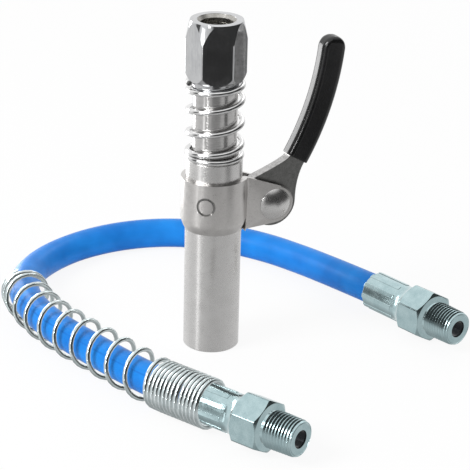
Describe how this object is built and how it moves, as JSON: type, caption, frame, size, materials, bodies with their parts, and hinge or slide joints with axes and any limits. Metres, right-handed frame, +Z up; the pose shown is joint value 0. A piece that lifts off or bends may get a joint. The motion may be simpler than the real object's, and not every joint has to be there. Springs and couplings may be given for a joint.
{
  "type": "grease coupler with hose",
  "caption": "Grease coupler whose thumb lever slides a sprung stem and opens its jaws, beside a short high-pressure hose with pipe-thread ends and a wire bend guard.",
  "frame": {"origin": "on the coupler's axis, in the plane of the sleeve's mouth, which stands on the floor", "axes": "+Z up the coupler's axis towards the inlet, +X towards the thumb lever, +Y along the lever's pivot"},
  "size_m": [0.1131, 0.1466, 0.0922],
  "materials": {
    "ground_steel": "ground and satin, with fine turning lines round the axis",
    "sheet_steel": "satin plated sheet",
    "rivet_steel": "bright plated, domed and smooth",
    "lever_steel": "tumbled and plated stamping",
    "grip_vinyl": "glossy black dipped vinyl",
    "stem_steel": "turned and ground",
    "inlet_chrome": "mirror-bright plating",
    "spring_steel": "polished spring wire",
    "jaw_steel": "hardened and darkened",
    "ball_steel": "polished",
    "seal_rubber": "matt black",
    "hose_jacket": "smooth blue thermoplastic jacket",
    "fitting_zinc": "bright zinc with a faint bluish passivation",
    "insert_steel": "turned",
    "guard_zinc": "bright zinc plated wire"
  },
  "bodies": {
    "coupler_body": {"sleeve": "ground_steel", "lever_bracket": "sheet_steel", "pivot_rivet": "rivet_steel"},
    "lever": {"lever_plate": "lever_steel", "lever_grip": "grip_vinyl"},
    "stem": {"stem_tube": "stem_steel", "inlet_hex": "inlet_chrome", "return_spring": "spring_steel", "check_spring": "spring_steel", "jaw_ring": "spring_steel"},
    "jaw_1": {"jaw_1": "jaw_steel"},
    "jaw_2": {"jaw_2": "jaw_steel"},
    "jaw_3": {"jaw_3": "jaw_steel"},
    "jaw_4": {"jaw_4": "jaw_steel"},
    "nozzle": {"nozzle_tip": "stem_steel", "nozzle_seal": "seal_rubber"},
    "valve": {"check_ball": "ball_steel"},
    "hose_set": {"hose": "hose_jacket", "front_fitting": "fitting_zinc", "rear_fitting": "fitting_zinc", "front_insert": "insert_steel", "rear_insert": "insert_steel", "guard_spring": "guard_zinc"}
  },
  "joints": [
    {"name": "lever_swing", "type": "hinge", "parent": "coupler_body", "child": "lever", "pos_m": [0.017, 0, 0.0392], "axis": [0, -1, 0], "range_deg": [0, 20]},
    {"name": "stem_slide", "type": "slide", "parent": "coupler_body", "child": "stem", "axis": [0, 0, -1], "range_m": [0, 0.00414], "stiffness_N_per_m": 3500, "springref_m": -0.0012, "deforming": ["return_spring"]},
    {"name": "jaw_1_swing", "type": "hinge", "parent": "stem", "child": "jaw_1", "pos_m": [0.00318, 0.00318, 0.0158], "axis": [0.7071, -0.7071, 0], "range_deg": [0, 2.5]},
    {"name": "jaw_2_swing", "type": "hinge", "parent": "stem", "child": "jaw_2", "pos_m": [-0.00318, 0.00318, 0.0158], "axis": [0.7071, 0.7071, 0], "range_deg": [0, 2.5]},
    {"name": "jaw_3_swing", "type": "hinge", "parent": "stem", "child": "jaw_3", "pos_m": [-0.00318, -0.00318, 0.0158], "axis": [-0.7071, 0.7071, 0], "range_deg": [0, 2.5]},
    {"name": "jaw_4_swing", "type": "hinge", "parent": "stem", "child": "jaw_4", "pos_m": [0.00318, -0.00318, 0.0158], "axis": [-0.7071, -0.7071, 0], "range_deg": [0, 2.5]},
    {"name": "nozzle_slide", "type": "slide", "parent": "stem", "child": "nozzle", "axis": [0, 0, 1], "range_m": [0, 0.0009], "stiffness_N_per_m": 600, "springref_m": -0.004, "deforming": ["check_spring"]},
    {"name": "valve_slide", "type": "slide", "parent": "stem", "child": "valve", "axis": [0, 0, -1], "range_m": [0, 0.0008], "stiffness_N_per_m": 60, "springref_m": -0.004, "deforming": ["check_spring"]},
    {"name": "hose_lift", "type": "slide", "parent": "coupler_body", "child": "hose_set", "axis": [0, 0, 1], "range_m": [0, 0.12]}
  ],
  "couplings": [
    {"joint": "lever_swing", "follows": "stem_slide", "rad_per_m": 84.31},
    {"joint": "jaw_1_swing", "follows": "stem_slide", "rad_per_m": 10.539},
    {"joint": "jaw_2_swing", "follows": "stem_slide", "rad_per_m": 10.539},
    {"joint": "jaw_3_swing", "follows": "stem_slide", "rad_per_m": 10.539},
    {"joint": "jaw_4_swing", "follows": "stem_slide", "rad_per_m": 10.539}
  ]
}
